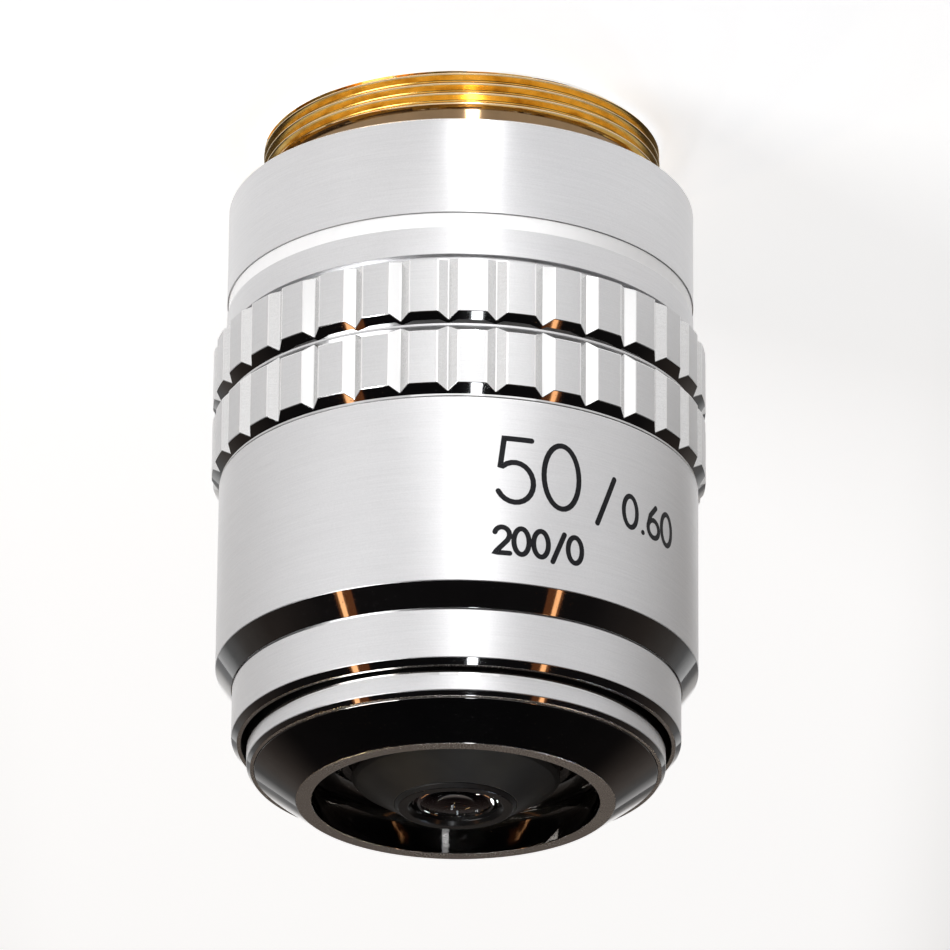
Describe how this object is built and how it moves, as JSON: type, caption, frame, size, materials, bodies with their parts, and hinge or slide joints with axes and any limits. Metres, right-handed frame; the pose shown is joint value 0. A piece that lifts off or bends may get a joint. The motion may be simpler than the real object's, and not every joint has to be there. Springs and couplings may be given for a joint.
{
  "type": "microscope objective",
  "caption": "Bright and dark field microscope objective with a brass mounting thread, knurled grip ring and a spring-loaded nose that slides back to protect its front lens.",
  "frame": {"origin": "centre of the mounting shoulder, the rear face of the sleeve round the thread", "axes": "+Z along the optical axis from the mounting thread towards the front lens; the side towards -Y carries the engraved numbers"},
  "size_m": [0.032, 0.032, 0.0463],
  "materials": {
    "thread_brass": "turned brass, satin",
    "satin_chrome": "satin chrome plate on brass with polished bevels",
    "polished_chrome": "mirror polished",
    "white_enamel": "gloss white enamel",
    "black_metal": "satin black anodised",
    "black_brass": "matt black oxide",
    "lens_glass": "polished, coated",
    "steel": "ground",
    "spring_steel": "drawn wire"
  },
  "bodies": {
    "housing": {"thread_mount": "thread_brass", "upper_sleeve": "satin_chrome", "colour_band": "white_enamel", "grip_ring": "satin_chrome", "main_barrel": "satin_chrome", "carrier": "black_brass", "guide_pin": "steel", "spring_seat": "steel", "spring": "spring_steel"},
    "nose": {"lens_barrel": "black_brass", "stop_ring": "black_brass", "nose_spider": "black_metal", "nose_ring": "satin_chrome", "front_cone": "polished_chrome", "ring_lens": "lens_glass", "ring_retainer": "black_metal", "nose_cap": "black_metal", "front_cell": "black_metal", "front_lens": "lens_glass", "second_lens": "lens_glass", "second_ring": "black_metal", "lock_ring": "black_metal", "rear_cell": "black_metal", "rear_lens_a": "lens_glass", "rear_lens_b": "lens_glass", "rear_spacer": "black_metal", "aperture_stop": "black_metal", "meniscus_cell": "black_metal", "meniscus_lens": "lens_glass", "middle_spacer": "black_metal", "middle_cell": "black_metal", "middle_lens_a": "lens_glass", "middle_lens_b": "lens_glass", "upper_spacer": "black_metal", "upper_cell": "black_metal", "upper_lens_a": "lens_glass", "upper_lens_b": "lens_glass"}
  },
  "joints": [
    {"name": "nose_slide", "type": "slide", "parent": "housing", "child": "nose", "axis": [0, 0, -1], "range_m": [0, 0.0018], "stiffness_N_per_m": 1300, "springref_m": -0.0023, "deforming": ["spring"]}
  ]
}
